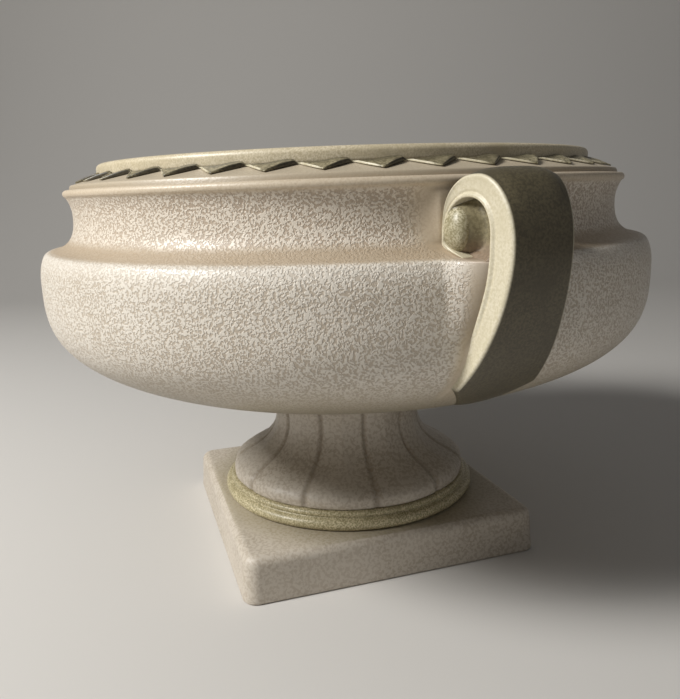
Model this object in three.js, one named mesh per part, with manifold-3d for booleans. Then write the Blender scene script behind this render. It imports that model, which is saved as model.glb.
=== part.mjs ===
// A footed jardiniere on its stand, in glazed earthenware.
//
// Millimetres, +Z up, origin on the floor under the middle of the plinth, whose sides run along
// X and Y. The bowl only rests on its stand. Its two handles lie at the left (-X) and the right
// (+X), and BOWL_TURN is how far it is turned on the stand.
//
// From the floor up: a hollow square plinth, a stepped foot ring, a fluted bell-shaped stem, and
// the bowl with an applied rim band, a course of teeth below it, and two scroll handles. Each
// handle is a strap that rises off the belly and curls over into the neck. A web closes the eye
// of the curl, and a boss sits in the eye on each side of the web.

import * as THREE from 'three';
import { mergeVertices } from 'three/addons/utils/BufferGeometryUtils.js';
import Module from 'manifold-3d';

// ---------- driving dimensions ----------

const CLAY_GAP = 0.3;            // slip joint between two curved pieces

const PLINTH_SIDE = 153;         // at the floor
const PLINTH_DRAFT = 1.3;        // each side leans in by this much at the top
const PLINTH_HEIGHT = 22.6;
const PLINTH_CORNER = 7;         // plan radius of the corners
const PLINTH_EDGE = 4.2;         // roll of the top edge
const PLINTH_ARRIS = 1.4;        // roll of the bottom edge
const PLINTH_WALL = 11;
const PLINTH_SLAB = 9;           // thickness of the top
const PLINTH_VENT = 38;          // radius of the hole up into the stem

const RING_HEIGHT = 9;
const RING_RADIUS = 69.8;        // lower roll
const RING_STEP_RADIUS = 66.4;   // upper, smaller roll
const RING_STEP_HEIGHT = 3.1;
const RING_BORE = 50;

const STEM_HEIGHT = 55.4;
const STEM_FOOT_RADIUS = 61;     // where the bell stands on the ring
const BELL_RADIUS = 65.3;        // widest part of the bell
const BELL_RISE = 3.4;           // height of that widest part
const NECK_RADIUS = 40.4;
const NECK_RISE = 33;            // height of the narrowest part
const SEAT_RADIUS = 49;          // flared top that carries the bowl
const SEAT_EDGE = 2;             // height of the seat's upright edge
const STEM_WALL = 7;
const STEM_CAP = 8;              // clay under the seat
const FLUTES = 8;
const FLUTE_DEPTH = 2.6;

const PAD_RADIUS = 26;           // low round pad that centres the bowl on the stem
const PAD_HEIGHT = 3;
const PAD_CLEARANCE = 1;         // play round and over the pad

const BOWL_TURN = 3.5;           // degrees
const BOWL_WALL = 7;
const BOWL_FLOOR = 8.5;
const FLOOR_TURN_WIDTH = 7;      // sloped turn from the inside of the wall to the floor
const FLOOR_TURN_HEIGHT = 3;
const BELLY_RADIUS = 152.4;
const BELLY_DROP = 58;           // base to the widest part
const BELLY_DEPTH = 62.5;        // widest part to where the lower curve would reach the axis
const BELLY_RISE = 15.5;         // widest part to the ridge
const BELLY_HEIGHT = 44;         // widest part to where the upper curve would reach the axis
const RIDGE_EDGE = 1.6;          // softened edge of the ridge
const THROAT_INSET = 17.4;       // how far the neck draws in from the belly's widest part
const THROAT_RISE = 15.4;        // ridge to throat
const LIP_RISE = 10.8;           // throat to the middle of the lip bead
const LIP_OUT = 3.6;             // how far the lip stands out from the throat
const LIP_BEAD = 1.7;            // radius of the bead's section
const SHOULDER_RISE = 7.3;       // middle of the bead to the foot of the rim band
const SHOULDER_INSET = 3.8;      // lip to the outer edge of the sloping shoulder
const SHOULDER_EDGE = 3.8;       // height of that edge above the middle of the bead
const SHOULDER_WIDTH = 12.4;     // that edge to the rim band
const MOUTH_DEPTH = 6.5;         // upright part of the mouth under the rim band
const MOUTH_TURN = 2;            // height of the turn from there into the neck

const BAND_WIDTH = 9.4;
const BAND_HEIGHT = 6;
const BAND_EDGE = 1.9;           // roll of its top edges

const TEETH = 40;
const TOOTH_TURN = -1.8;         // degrees from the right handle to a gap between two teeth
const TOOTH_STRIP = 1.2;         // plain strip that joins the teeth
const TOOTH_LENGTH = 8.4;
const TOOTH_THICKNESS = 1.5;
const TOOTH_TIP_THICKNESS = 1.1;
const TOOTH_CROWN = 0.4;         // extra thickness along the middle of each tooth

const HANDLE_OUT = 17.4;         // outer face of the strap outside the belly's widest part
const CURL_RADIUS = 17;          // half the curl's depth, measured outward
const CURL_HEIGHT = 23.4;        // curl's centre to its top
const CURL_RISE = 4.4;           // curl's centre above the ridge
const STRAP_TOP = 7.9;           // thickness over the eye
const STRAP_FACE = 10.5;         // thickness outside the eye
const EYE_WIDTH = 21.6;
const EYE_RISE = 2;              // eye's centre above the curl's
const STRAP_FOOT_RISE = 13;      // where the strap runs out on the belly, above the bowl's base
const STRAP_FOOT_OUT = 1.1;      // how thick it still is there
const TONGUE_HEIGHT = 14;        // the strap narrows to a tongue over this height
const TONGUE_SHARE = 0.15;       // share of the width that is left at its tip
const HANDLE_WIDTH = 22.6;       // across the strap's outer face
const HANDLE_DRAFT = 0.18;       // how much each side closes in per millimetre outward
const HANDLE_SPREAD = 0.015;     // how much each side spreads per millimetre below the ridge
const HANDLE_FLARE = 2.4;        // how much each side spreads where it meets the neck
const FLARE_REACH = 11;          // the flare begins this far outside the throat
const HANDLE_EDGE = 1.3;         // softened edges of the strap
const WEB_THICKNESS = 19;        // clay that closes the eye
const WEDGE_THICKNESS = 26;      // clay that fills the space below it, between strap and belly
const WEDGE_DROP = 12;           // widest part of the belly to the foot of that space

const BOSS_WIDTH = 12.8;         // measured outward from the bowl
const BOSS_HEIGHT = 15.6;
const BOSS_DEPTH = 9.4;          // measured across the handle
const BOSS_OUT = 6.4;            // boss's centre outside the throat
const BOSS_ASIDE = 14;           // boss's centre aside of the handle's middle plane
const BOSS_RISE = 9.8;           // boss's centre above the ridge

const ROUND = 52;                // facets round the bowl

// ---------- levels that follow ----------

const RING_BASE = PLINTH_HEIGHT;
const STEM_BASE = RING_BASE + RING_HEIGHT;
const BOWL_BASE = STEM_BASE + STEM_HEIGHT;
const BELLY_Z = BOWL_BASE + BELLY_DROP;
const RIDGE_Z = BELLY_Z + BELLY_RISE;
const THROAT_Z = RIDGE_Z + THROAT_RISE;
const LIP_Z = THROAT_Z + LIP_RISE;
const BAND_BASE = LIP_Z + SHOULDER_RISE;
const THROAT_RADIUS = BELLY_RADIUS - THROAT_INSET;
const LIP_RADIUS = THROAT_RADIUS + LIP_OUT;
const SHOULDER_RADIUS = LIP_RADIUS - SHOULDER_INSET;
const BAND_RADIUS = SHOULDER_RADIUS - SHOULDER_WIDTH;
const MOUTH_RADIUS = BAND_RADIUS - BAND_WIDTH;
const SEAT_LIP_RADIUS = BAND_RADIUS + CLAY_GAP;   // flat top of the bowl's wall reaches this far
const HANDLE_REACH = BELLY_RADIUS + HANDLE_OUT;

// ---------- glazes ----------

const clay = (color, roughness) => new THREE.MeshStandardMaterial({ color, roughness, metalness: 0 });
const GLAZE = {
  body: clay(0xcfc3b3, 0.42),
  olive: clay(0xb6ac7d, 0.4),
  stand: clay(0xb5a899, 0.6),
};

// ---------- building helpers ----------

const vec2 = (x, y) => new THREE.Vector2(x, y);

// A body of revolution about Z from (radius, height) points. Points that run out along the
// bottom, up the outside and back in over the top face outward.
function revolve(points, segments = ROUND) {
  const geometry = new THREE.LatheGeometry(points, segments);
  return geometry.rotateX(Math.PI / 2);
}

// A closed body through rings of points, each ring counter-clockwise from above. The ends are
// closed by fans, or the last ring is joined to the first.
function loft(rings, joined = false) {
  const count = rings[0].length;
  const positions = rings.flat().flatMap((p) => [p.x, p.y, p.z]);
  const index = [];
  const spans = joined ? rings.length : rings.length - 1;
  for (let r = 0; r < spans; r++) {
    const low = r * count;
    const high = ((r + 1) % rings.length) * count;
    for (let i = 0; i < count; i++) {
      const j = (i + 1) % count;
      index.push(low + i, low + j, high + j, low + i, high + j, high + i);
    }
  }
  if (!joined) {
    const last = (rings.length - 1) * count;
    for (let i = 1; i < count - 1; i++) {
      index.push(0, i + 1, i);
      index.push(last, last + i, last + i + 1);
    }
  }
  const geometry = new THREE.BufferGeometry();
  geometry.setAttribute('position', new THREE.Float32BufferAttribute(positions, 3));
  geometry.setIndex(index);
  geometry.computeVertexNormals();
  return geometry;
}

// A ring of points round Z: radiusAt(angle) gives the radius, heightAt(angle) the height.
function ringOf(count, radiusAt, heightAt) {
  return Array.from({ length: count }, (_, i) => {
    const angle = (i / count) * 2 * Math.PI;
    const radius = radiusAt(angle);
    return new THREE.Vector3(radius * Math.cos(angle), radius * Math.sin(angle), heightAt(angle));
  });
}

// Points of a round edge about (x, y) from one angle to another, in degrees.
function arc(x, y, radius, from, to, steps) {
  return Array.from({ length: steps + 1 }, (_, i) => {
    const angle = THREE.MathUtils.degToRad(from + ((to - from) * i) / steps);
    return vec2(x + radius * Math.cos(angle), y + radius * Math.sin(angle));
  });
}

// A profile moved outward by a distance, for the clay gap round it.
function offset(points, distance) {
  return points.map((point, i) => {
    const before = points[Math.max(i - 1, 0)];
    const after = points[Math.min(i + 1, points.length - 1)];
    const along = after.clone().sub(before).normalize();
    return vec2(point.x + along.y * distance, point.y - along.x * distance);
  });
}

let wasm;
async function loadSolids() {
  wasm = await Module();
  wasm.setup();
}

// A geometry as a solid, and a solid as a geometry.
function toSolid(geometry) {
  const bare = geometry.clone();
  bare.deleteAttribute('normal');
  bare.deleteAttribute('uv');
  const merged = mergeVertices(bare, 1e-4);
  const corners = merged.index.array;
  const kept = [];
  for (let i = 0; i < corners.length; i += 3) {
    const [a, b, c] = [corners[i], corners[i + 1], corners[i + 2]];
    if (a !== b && b !== c && c !== a) kept.push(a, b, c);
  }
  const mesh = new wasm.Mesh({
    numProp: 3,
    vertProperties: new Float32Array(merged.attributes.position.array),
    triVerts: new Uint32Array(kept),
  });
  return new wasm.Manifold(mesh);
}

function toGeometry(solid) {
  const { vertProperties, triVerts } = solid.getMesh();
  const geometry = new THREE.BufferGeometry();
  geometry.setAttribute('position', new THREE.BufferAttribute(new Float32Array(vertProperties), 3));
  geometry.setIndex(new THREE.BufferAttribute(new Uint32Array(triVerts), 1));
  geometry.computeVertexNormals();
  return geometry;
}

function piece(name, geometry, material) {
  const mesh = new THREE.Mesh(geometry, material);
  mesh.name = name;
  return mesh;
}

// ---------- stand ----------

// A square with round corners, as one ring. Each quarter has a corner arc and the middle of the
// side that follows it, so a ring of any size or roundness has the same count of points.
const CORNER_STEPS = 6;
function squareRing(half, corner, z) {
  const points = [];
  for (let quarter = 0; quarter < 4; quarter++) {
    const turn = (quarter * Math.PI) / 2;
    const flat = half - corner;
    const edge = arc(flat, flat, corner, 0, 90, CORNER_STEPS);
    edge.unshift(vec2(half, 0));
    for (const point of edge) {
      point.rotateAround(vec2(0, 0), turn);
      points.push(new THREE.Vector3(point.x, point.y, z));
    }
  }
  return points;
}

function plinth() {
  const half = PLINTH_SIDE / 2;
  const lean = (z) => half - (PLINTH_DRAFT * z) / PLINTH_HEIGHT;
  const outer = (z, inset) => squareRing(lean(z) - inset, Math.max(PLINTH_CORNER - inset, 1), z);
  const rings = [];
  const inner = half - PLINTH_WALL;
  const ceiling = PLINTH_HEIGHT - PLINTH_SLAB;
  rings.push(squareRing(inner, PLINTH_CORNER, 0));
  rings.push(outer(0, PLINTH_ARRIS));
  rings.push(outer(PLINTH_ARRIS, 0));
  for (const { x, y } of arc(0, 0, PLINTH_EDGE, 0, 90, 4)) {
    rings.push(outer(PLINTH_HEIGHT - PLINTH_EDGE + y, PLINTH_EDGE - x));
  }
  rings.push(squareRing(PLINTH_VENT, PLINTH_VENT, PLINTH_HEIGHT));
  rings.push(squareRing(PLINTH_VENT, PLINTH_VENT, ceiling));
  rings.push(squareRing(inner, PLINTH_CORNER, ceiling));
  return piece('plinth', loft(rings, true), GLAZE.stand);
}

function footRing() {
  const step = STEM_BASE - RING_STEP_HEIGHT;
  const lowerRoll = (step - RING_BASE) / 2;
  const upperRoll = RING_STEP_HEIGHT / 2;
  const profile = [
    vec2(RING_BORE, RING_BASE),
    vec2(RING_RADIUS - lowerRoll, RING_BASE),
    ...arc(RING_RADIUS - lowerRoll, RING_BASE + lowerRoll, lowerRoll, -50, 90, 4),
    ...arc(RING_STEP_RADIUS - upperRoll, step + upperRoll, upperRoll, -30, 90, 2),
    vec2(RING_BORE, STEM_BASE),
    vec2(RING_BORE, RING_BASE),
  ];
  return piece('foot_ring', revolve(profile), GLAZE.olive);
}

// A sweep from the bell up to the neck, upright at both ends.
function bellSweep(low, base, high) {
  const bell = STEM_BASE + BELL_RISE;
  return new THREE.CubicBezierCurve(
    vec2(low, base),
    vec2(low, bell + NECK_RISE * 0.26),
    vec2(high, bell + NECK_RISE * 0.28),
    vec2(high, STEM_BASE + NECK_RISE),
  );
}

// Outside of the stem: a rolled bell edge, a hollow sweep up to the neck, and a flare to the seat.
function stemOutside() {
  const bell = STEM_BASE + BELL_RISE;
  const neck = STEM_BASE + NECK_RISE;
  const seat = BOWL_BASE - SEAT_EDGE;
  const roll = new THREE.QuadraticBezierCurve(
    vec2(STEM_FOOT_RADIUS, STEM_BASE),
    vec2(BELL_RADIUS, STEM_BASE + BELL_RISE / 4),
    vec2(BELL_RADIUS, bell),
  );
  const sweep = bellSweep(BELL_RADIUS, bell, NECK_RADIUS);
  const flare = new THREE.QuadraticBezierCurve(
    vec2(NECK_RADIUS, neck),
    vec2(NECK_RADIUS, seat - (seat - neck) * 0.3),
    vec2(SEAT_RADIUS, seat),
  );
  return [
    ...roll.getPoints(2),
    ...sweep.getPoints(7).slice(1),
    ...flare.getPoints(3).slice(1),
    vec2(SEAT_RADIUS, BOWL_BASE),
  ];
}

// The flutes are V grooves that fade out under the seat and at the bell's foot.
function fluteDepth(angle, z) {
  const across = Math.abs(((angle * FLUTES) / (2 * Math.PI) + 0.5) % 1 - 0.5) * 2;
  const groove = Math.max(0, 1 - across / 0.3);
  const crown = across * across * 0.25;
  const fade = THREE.MathUtils.smoothstep(BOWL_BASE - SEAT_EDGE - z, 0, 10);
  return FLUTE_DEPTH * fade * (0.75 * groove + 0.25 - crown);
}

function stem() {
  const facets = FLUTES * 8;
  const outside = stemOutside();
  const hollow = BOWL_BASE - STEM_CAP;
  const plain = (radius, z) => ringOf(facets, () => radius, () => z);
  const neckBore = NECK_RADIUS - STEM_WALL;
  const bore = bellSweep(RING_BORE, STEM_BASE, neckBore).getPoints(4).reverse();
  const rings = [
    plain(neckBore * 0.7, hollow),
    plain(neckBore, hollow - STEM_WALL / 2),
    ...bore.map(({ x, y }) => plain(x, y)),
    ...outside.map(({ x, y }) => ringOf(facets, (angle) => x - fluteDepth(angle, y), () => y)),
    plain(PAD_RADIUS, BOWL_BASE),
    plain(PAD_RADIUS, BOWL_BASE + PAD_HEIGHT),
  ];
  return piece('stem', loft(rings), GLAZE.stand);
}

// ---------- bowl ----------

// Radius of the belly at a height from its widest part: each half is a curve on which the square
// of the radius and the cube of the height share one whole.
function bellyRadius(rise, shrink = 0) {
  const reach = (rise < 0 ? BELLY_DEPTH : BELLY_HEIGHT) - shrink;
  const share = Math.min(Math.abs(rise) / reach, 1);
  return (BELLY_RADIUS - shrink) * Math.sqrt(1 - share ** 3);
}

function bellyPoints(from, to, steps, shrink = 0) {
  return Array.from({ length: steps + 1 }, (_, i) => {
    const rise = THREE.MathUtils.lerp(from, to, i / steps);
    return vec2(bellyRadius(rise, shrink), BELLY_Z + rise);
  });
}

// Outside of the bowl from its base to the top of its wall.
function bowlOutside() {
  const ridge = bellyRadius(BELLY_RISE);
  const softened = new THREE.QuadraticBezierCurve(
    vec2(bellyRadius(BELLY_RISE - RIDGE_EDGE), RIDGE_Z - RIDGE_EDGE),
    vec2(ridge, RIDGE_Z),
    vec2(ridge - RIDGE_EDGE, RIDGE_Z),
  );
  const cove = new THREE.EllipseCurve(
    ridge, THROAT_Z, ridge - THROAT_RADIUS, THROAT_RISE, 1.42 * Math.PI, Math.PI, true,
  );
  const rise = new THREE.QuadraticBezierCurve(
    vec2(THROAT_RADIUS, THROAT_Z),
    vec2(THROAT_RADIUS, LIP_Z - LIP_RISE / 2),
    vec2(LIP_RADIUS - LIP_BEAD / 2, LIP_Z - LIP_BEAD),
  );
  return [
    ...bellyPoints(-BELLY_DROP, -BELLY_DROP * 0.56, 4),
    ...bellyPoints(-BELLY_DROP * 0.56, BELLY_RISE - RIDGE_EDGE, 6).slice(1),
    ...softened.getPoints(2).slice(1),
    ...cove.getPoints(5),
    ...rise.getPoints(3).slice(1),
    ...arc(LIP_RADIUS - LIP_BEAD, LIP_Z, LIP_BEAD, -35, 95, 3),
    vec2(SHOULDER_RADIUS + LIP_BEAD, LIP_Z + LIP_BEAD),
    vec2(SHOULDER_RADIUS, shoulderHeight(SHOULDER_RADIUS)),
    vec2(SEAT_LIP_RADIUS, BAND_BASE),
  ];
}

// Height of the sloping shoulder at a radius.
function shoulderHeight(radius) {
  const top = SEAT_LIP_RADIUS;
  const share = (radius - top) / (SHOULDER_RADIUS - top);
  return THREE.MathUtils.lerp(BAND_BASE, LIP_Z + SHOULDER_EDGE, share);
}

// Inside of the bowl, from the mouth down to the middle of the floor.
function bowlInside() {
  const floor = BOWL_BASE + BOWL_FLOOR;
  const neck = THROAT_RADIUS - BOWL_WALL;
  const under = BAND_BASE - MOUTH_DEPTH;
  const top = BELLY_RISE - BOWL_WALL * 0.8;
  const belly = bellyPoints(top, floor - BELLY_Z + FLOOR_TURN_HEIGHT, 5, BOWL_WALL);
  const shoulder = new THREE.QuadraticBezierCurve(
    vec2(MOUTH_RADIUS, under), vec2(neck, under - MOUTH_TURN), vec2(neck, THROAT_Z),
  );
  const cove = new THREE.QuadraticBezierCurve(
    vec2(neck, THROAT_Z), vec2(neck, RIDGE_Z), belly[0],
  );
  return [
    vec2(MOUTH_RADIUS, BAND_BASE),
    ...shoulder.getPoints(3),
    ...cove.getPoints(3).slice(1),
    ...belly.slice(1),
    vec2(belly.at(-1).x - FLOOR_TURN_WIDTH, floor),
    vec2(0, floor),
  ];
}

function bowl() {
  const recess = PAD_RADIUS + PAD_CLEARANCE;
  const ceiling = BOWL_BASE + PAD_HEIGHT + PAD_CLEARANCE;
  const profile = [
    vec2(0, ceiling),
    vec2(recess, ceiling),
    vec2(recess, BOWL_BASE),
    ...bowlOutside(),
    ...bowlInside(),
  ];
  return piece('bowl', revolve(profile), GLAZE.body);
}

function rimBand() {
  const top = BAND_BASE + BAND_HEIGHT;
  const profile = [
    vec2(MOUTH_RADIUS, BAND_BASE),
    vec2(BAND_RADIUS, BAND_BASE),
    ...arc(BAND_RADIUS - BAND_EDGE, top - BAND_EDGE, BAND_EDGE, 0, 90, 3),
    ...arc(MOUTH_RADIUS + BAND_EDGE, top - BAND_EDGE, BAND_EDGE, 90, 180, 3),
    vec2(MOUTH_RADIUS, BAND_BASE),
  ];
  return piece('rim_band', revolve(profile), GLAZE.olive);
}

// The course of teeth: a strip round the foot of the rim band whose outer edge runs out to a
// point at each tooth. It lies on the shoulder, and each tooth is thickest along its middle.
function toothBand() {
  const facets = TEETH * 4;
  const inner = SEAT_LIP_RADIUS + CLAY_GAP;
  const point = (angle) => 1 - Math.abs(2 * (((angle * TEETH) / (2 * Math.PI)) % 1) - 1);
  const edge = (angle) => inner + TOOTH_STRIP + TOOTH_LENGTH * point(angle) ** 0.9;
  const row = (share, top) => {
    const radiusAt = (angle) => THREE.MathUtils.lerp(inner, edge(angle), share);
    const heightAt = (angle) => {
      const bed = shoulderHeight(radiusAt(angle)) + CLAY_GAP;
      const thickness = THREE.MathUtils.lerp(TOOTH_THICKNESS, TOOTH_TIP_THICKNESS, share);
      const crown = TOOTH_CROWN * point(angle) * (1 - share);
      return top ? bed + thickness + crown : bed;
    };
    return ringOf(facets, radiusAt, heightAt);
  };
  const rings = [row(0, false), row(1, false), row(1, true), row(0.5, true), row(0, true)];
  const geometry = loft(rings, true).rotateZ(THREE.MathUtils.degToRad(TOOTH_TURN));
  return piece('tooth_band', geometry, GLAZE.olive);
}

// ---------- handles ----------

// The handle's own frame: X outward from the bowl's axis, Y across the strap, Z up. Outlines are
// drawn in X and Z. Across the strap they are stretched to the drafted width.

const CURL_X = HANDLE_REACH - CURL_RADIUS;
const CURL_Z = RIDGE_Z + CURL_RISE;
const INSIDE_BOWL = THROAT_RADIUS - BOWL_WALL / 2;

// Half the strap's width: it widens towards the bowl and downward, and flares at the neck.
function halfWidth(x, z) {
  const spread = HANDLE_SPREAD * Math.max(RIDGE_Z - z, 0);
  const near = THREE.MathUtils.clamp(1 - (x - THROAT_RADIUS) / FLARE_REACH, 0, 1);
  const flare = z > RIDGE_Z ? HANDLE_FLARE * near * near : 0;
  return HANDLE_WIDTH / 2 + HANDLE_DRAFT * (HANDLE_REACH - x) + spread + flare;
}

// The lowest point of the strap's outer face.
function strapFoot() {
  const z = BOWL_BASE + STRAP_FOOT_RISE;
  return vec2(bellyRadius(z - BELLY_Z) + STRAP_FOOT_OUT, z);
}

// Outer outline: a curl over the top, then a long sweep down to where the strap dies on the belly.
function handleOutline() {
  const foot = strapFoot();
  const drop = CURL_Z - foot.y;
  const shape = new THREE.Shape();
  shape.moveTo(INSIDE_BOWL, CURL_Z - CURL_RADIUS / 2);
  shape.lineTo(foot.x, foot.y);
  shape.bezierCurveTo(
    foot.x + drop * 0.57, foot.y + drop * 0.173,
    HANDLE_REACH, CURL_Z - drop * 0.233,
    HANDLE_REACH, CURL_Z,
  );
  shape.absellipse(CURL_X, CURL_Z, CURL_RADIUS, CURL_HEIGHT, 0, Math.PI, false);
  shape.closePath();
  return shape;
}

// What the strap keeps, seen from outside: all of it above, and a tongue cut to a blunt tip below.
function tongue() {
  const foot = strapFoot();
  const knee = foot.y + TONGUE_HEIGHT;
  const wide = halfWidth(bellyRadius(knee - BELLY_Z), knee);
  const half = [
    vec2(wide * TONGUE_SHARE, foot.y),
    vec2(wide, knee),
    vec2(HANDLE_WIDTH, knee),
    vec2(HANDLE_WIDTH, BAND_BASE),
  ];
  const mirrored = half.map(({ x, y }) => vec2(-x, y)).reverse();
  const geometry = new THREE.ExtrudeGeometry(new THREE.Shape([...half, ...mirrored]), {
    depth: HANDLE_REACH + HANDLE_WIDTH, bevelEnabled: false,
  });
  return toSolid(geometry.rotateX(Math.PI / 2).rotateZ(Math.PI / 2));
}

// Outline of the eye: an oval whose foot is level with the ridge of the bowl.
const EYE_X = HANDLE_REACH - STRAP_FACE - EYE_WIDTH / 2;
const EYE_Z = CURL_Z + EYE_RISE;
function eyeOutline(inset = 0) {
  const height = CURL_Z + CURL_HEIGHT - STRAP_TOP - EYE_Z - inset;
  const floor = RIDGE_Z + inset;
  const half = EYE_WIDTH / 2 - inset;
  const low = Math.asin((floor - EYE_Z) / height);
  const shape = new THREE.Shape();
  shape.moveTo(EYE_X - half * Math.cos(low), floor);
  shape.lineTo(EYE_X + half * Math.cos(low), floor);
  shape.absellipse(EYE_X, EYE_Z, half, height, low, Math.PI - low, false);
  shape.closePath();
  return shape;
}

// Outline of the space below the eye, which closes where the strap leaves the belly.
function wedgeOutline() {
  const inside = EYE_X + EYE_WIDTH / 2;
  const shape = new THREE.Shape();
  shape.moveTo(INSIDE_BOWL, RIDGE_Z);
  shape.lineTo(BELLY_RADIUS - BOWL_WALL, BELLY_Z - WEDGE_DROP);
  shape.lineTo(bellyRadius(-WEDGE_DROP), BELLY_Z - WEDGE_DROP);
  shape.quadraticCurveTo(inside, BELLY_Z, inside, RIDGE_Z);
  shape.closePath();
  return shape;
}

// An outline drawn out across the strap between two shares of the half width, with the drafted
// sides and, where bevel isn't 0, softened edges.
function drawnAcross(shape, bevel = 0) {
  const geometry = new THREE.ExtrudeGeometry(shape, {
    depth: 2 - 2 * bevel / (HANDLE_WIDTH / 2),
    curveSegments: 12,
    bevelEnabled: bevel > 0,
    bevelThickness: bevel / (HANDLE_WIDTH / 2),
    bevelSize: bevel,
    bevelOffset: -bevel,
    bevelSegments: 2,
  });
  const place = geometry.attributes.position;
  const middle = 1 - bevel / (HANDLE_WIDTH / 2);
  for (let i = 0; i < place.count; i++) {
    const across = (middle - place.getZ(i)) * halfWidth(place.getX(i), place.getY(i));
    place.setXYZ(i, place.getX(i), across, place.getY(i));
  }
  return geometry;
}

// The space beside a web of some thickness, as a solid, on one side of the handle.
function beside(outline, thickness, side) {
  const depth = HANDLE_WIDTH;
  const geometry = new THREE.ExtrudeGeometry(outline, {
    depth, curveSegments: 12, bevelEnabled: false,
  });
  geometry.rotateX(Math.PI / 2);
  geometry.translate(0, side > 0 ? thickness / 2 + depth : -thickness / 2, 0);
  return toSolid(geometry);
}

// The bowl as the handles meet it: its outside, with the clay gap.
function bowlForHandles() {
  const outside = offset(bowlOutside(), CLAY_GAP);
  return toSolid(revolve([vec2(0, BOWL_BASE), ...outside, vec2(0, BAND_BASE)]));
}

function handleParts(side, turn) {
  const bowlSolid = bowlForHandles();
  const strap = toSolid(drawnAcross(handleOutline(), HANDLE_EDGE)).intersect(tongue());
  let handle = strap.subtract(bowlSolid);
  for (const aside of [1, -1]) {
    handle = handle.subtract(beside(eyeOutline(), WEB_THICKNESS, aside));
    handle = handle.subtract(beside(wedgeOutline(), WEDGE_THICKNESS, aside));
  }
  const parts = [piece(`handle_${side}`, toGeometry(handle), GLAZE.olive)];
  for (const [place, aside] of [['front', -1], ['rear', 1]]) {
    const ball = new THREE.SphereGeometry(1 / 2, 12, 9);
    const across = turn === 0 ? aside : -aside;
    ball.rotateX(Math.PI / 2);
    ball.scale(BOSS_WIDTH, BOSS_DEPTH, BOSS_HEIGHT);
    ball.translate(THROAT_RADIUS + BOSS_OUT, across * BOSS_ASIDE, RIDGE_Z + BOSS_RISE);
    const room = beside(eyeOutline(CLAY_GAP), WEB_THICKNESS + 2 * CLAY_GAP, across);
    const boss = toSolid(ball).intersect(room).subtract(bowlSolid);
    parts.push(piece(`boss_${side}_${place}`, toGeometry(boss), GLAZE.olive));
  }
  for (const part of parts) part.geometry.rotateZ(turn);
  return parts;
}

// ---------- assembly ----------

await loadSolids();

const stand = new THREE.Group();
stand.add(plinth(), footRing(), stem());

const jardiniere = new THREE.Group();
jardiniere.add(bowl(), rimBand(), toothBand());
jardiniere.add(...handleParts('right', 0), ...handleParts('left', Math.PI));
jardiniere.rotation.z = THREE.MathUtils.degToRad(BOWL_TURN);

const model = new THREE.Group();
model.add(stand, jardiniere);

export default model;
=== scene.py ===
"""Looks of a footed jardiniere in glazed earthenware, set down on its own stand.

Every size below is in millimetres in the part's own frame and is turned to metres where a mesh is
made. Each piece is a closed skin of rings of points, worked out as whole arrays.
"""

import math

import bpy
import numpy as np
from mathutils import Matrix, Vector


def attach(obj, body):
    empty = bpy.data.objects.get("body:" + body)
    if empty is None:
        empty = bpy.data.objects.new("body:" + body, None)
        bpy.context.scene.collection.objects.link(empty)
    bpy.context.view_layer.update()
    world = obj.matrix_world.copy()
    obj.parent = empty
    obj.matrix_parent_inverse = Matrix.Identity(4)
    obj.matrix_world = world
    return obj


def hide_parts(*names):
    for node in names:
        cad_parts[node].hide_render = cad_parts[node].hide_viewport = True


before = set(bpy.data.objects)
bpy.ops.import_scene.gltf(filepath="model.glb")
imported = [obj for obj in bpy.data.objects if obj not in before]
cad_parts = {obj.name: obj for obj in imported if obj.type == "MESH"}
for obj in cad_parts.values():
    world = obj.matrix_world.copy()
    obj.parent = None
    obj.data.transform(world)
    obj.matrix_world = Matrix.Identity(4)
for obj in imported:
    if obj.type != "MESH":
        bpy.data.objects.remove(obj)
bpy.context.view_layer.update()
MM = 0.001

# ---------- sizes ----------

PLINTH_SIDE = 153.0
PLINTH_DRAFT = 1.3
PLINTH_HEIGHT = 22.6
PLINTH_CORNER = 7.0
PLINTH_EDGE = 4.2
PLINTH_ARRIS = 1.4
PLINTH_WALL = 11.0
PLINTH_SLAB = 9.0
PLINTH_VENT = 38.0
PLINTH_WAVER = 0.18            # depth of the slow waver in the cast sides
PLINTH_WAVER_STEP = 46.0
PLINTH_WAVER_RISE = 6.0        # the waver sets in over this height
PLINTH_WAVER_SEED = 3
PLINTH_SIDE_BAND = 8.0         # only points this near to a side waver
RUN_START = 2.0                # olive glaze has run out from the ring, darkened also as painted shade near it,
RUN_WIDTH = 20.0               # and ends this far from it

RING_HEIGHT = 9.0
RING_RADIUS = 69.8
RING_STEP_RADIUS = 66.4
RING_STEP_HEIGHT = 3.1
RING_BORE = 50.0
RING_COLUMNS = 240

STEM_HEIGHT = 55.4
STEM_FOOT_RADIUS = 61.0
STEM_FOOT_ROLL = 2.6
BELL_RADIUS = 65.3
BELL_RISE = 3.4
NECK_RADIUS = 40.4
NECK_RISE = 33.0
SEAT_RADIUS = 49.0
SEAT_EDGE = 2.0
STEM_WALL = 7.0
STEM_CAP = 8.0
STEM_HUB = 0.3                 # smallest ring of points, closed to its middle
BELL_PULL = 0.26               # heights of the sweep's middle corners, as shares of NECK_RISE
NECK_PULL = 0.28
FLUTES = 11
FLUTE_TURN = math.radians(-5.5)
FLUTE_DEPTH = 2.6
FLUTE_COLUMNS = 44             # points to one flute
GROOVE_WIDTH = 0.14            # as a share of the way from a groove to halfway to the next
GROOVE_STAIN = 0.17            # the same, for the glaze that has run into it
GROOVE_SHARE = 0.62            # share of the depth that the groove itself cuts
CROWN_SHARE = 0.3              # share of the depth that the crown between two grooves gives
PAD_RADIUS = 26.0
PAD_HEIGHT = 3.0
PAD_CLEARANCE = 1.0

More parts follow.
